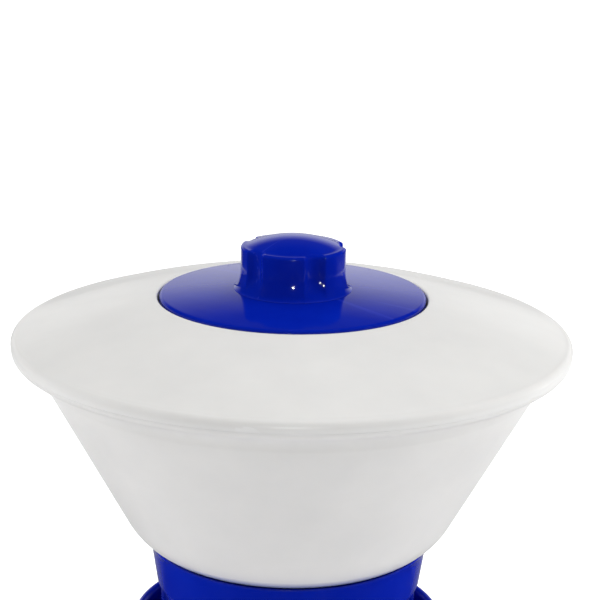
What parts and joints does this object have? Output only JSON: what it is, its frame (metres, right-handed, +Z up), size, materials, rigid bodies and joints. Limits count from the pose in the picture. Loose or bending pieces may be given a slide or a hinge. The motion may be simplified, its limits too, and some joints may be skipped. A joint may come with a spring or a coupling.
{
  "type": "floating chlorine dispenser",
  "caption": "Floating pool chlorine dispenser: conical float, latching lid with a lobed knob, and a slotted tablet basket with a dosing ring below.",
  "frame": {"origin": "centre of the bottom cap's flat resting face", "axes": "+Z up along the dispenser's axis; -Y is the front, with the dosing pointer"},
  "size_m": [0.23, 0.23, 0.2379],
  "materials": {
    "float_white": "satin moulded polypropylene",
    "dispenser_blue": "glossy moulded polypropylene",
    "seal_rubber": "moulded EPDM",
    "stainless": "stainless steel",
    "ballast_metal": "turned stainless steel"
  },
  "bodies": {
    "float": {"float_top_shell": "float_white", "float_bottom_shell": "float_white", "brim_seal": "seal_rubber", "well_tube": "dispenser_blue", "well_seal": "seal_rubber", "collar_nut": "dispenser_blue", "collar_gasket": "seal_rubber"},
    "lid": {"lid_plate": "dispenser_blue", "lid_gasket": "seal_rubber"},
    "knob": {"lid_knob": "dispenser_blue", "stem_seal": "seal_rubber", "latch_bar": "dispenser_blue", "latch_washer": "stainless", "latch_screw": "stainless"},
    "basket": {"tablet_basket": "dispenser_blue", "tablet_grate": "dispenser_blue", "click_spring": "stainless", "spring_screw": "stainless", "bottom_cap": "dispenser_blue", "cap_screws": "stainless", "ballast_ring": "ballast_metal"},
    "regulator": {"dosing_ring": "dispenser_blue"}
  },
  "joints": [
    {"name": "lid_lift", "type": "slide", "parent": "float", "child": "lid", "axis": [0, 0, 1], "range_m": [0, 0.06]},
    {"name": "knob_turn", "type": "hinge", "parent": "lid", "child": "knob", "pos_m": [0, 0, 0.2], "axis": [0, 0, 1], "range_deg": [0, 90]},
    {"name": "basket_twist", "type": "hinge", "parent": "float", "child": "basket", "pos_m": [0, 0, 0.08], "axis": [0, 0, 1], "range_deg": [-25, 0]},
    {"name": "dose_turn", "type": "hinge", "parent": "basket", "child": "regulator", "pos_m": [0, 0, 0.04], "axis": [0, 0, 1], "range_deg": [-15, 15]}
  ]
}
